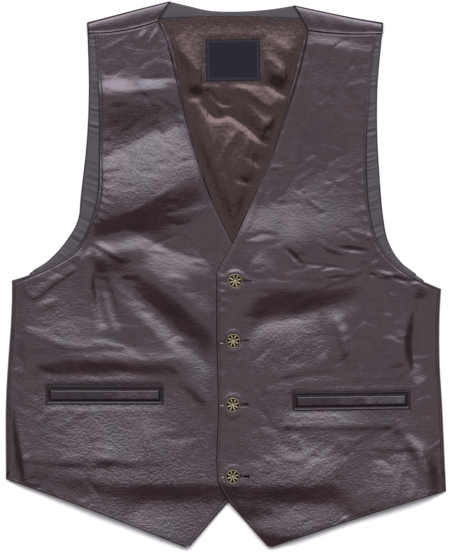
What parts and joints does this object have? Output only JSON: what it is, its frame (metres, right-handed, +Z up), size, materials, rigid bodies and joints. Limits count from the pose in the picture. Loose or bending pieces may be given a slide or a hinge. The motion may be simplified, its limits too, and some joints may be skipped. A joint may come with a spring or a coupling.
{
  "type": "leather vest, laid flat",
  "caption": "Man's sleeveless V-neck leather waistcoat, buttoned and lying flat, with welt pockets, pointed hem and satin back lining.",
  "frame": {"origin": "middle of the laid-out outline, on the surface that the back lies on", "axes": "+X to the wearer's left, +Y from hem to neck, +Z up from the surface"},
  "size_m": [0.5459, 0.6764, 0.0147],
  "materials": {
    "leather": "semi-gloss",
    "facing": "matte",
    "satin": "satin",
    "label": "matte",
    "brass": "antique"
  },
  "bodies": {
    "root": {"back": "leather", "front_right": "leather", "front_left": "leather", "pocket_welt_right": "leather", "pocket_welt_left": "leather", "armhole_facing_right": "facing", "armhole_facing_left": "facing", "neck_facing": "facing", "back_lining": "satin", "neck_label": "label", "button_1": "brass", "button_2": "brass", "button_3": "brass", "button_4": "brass"}
  },
  "joints": []
}
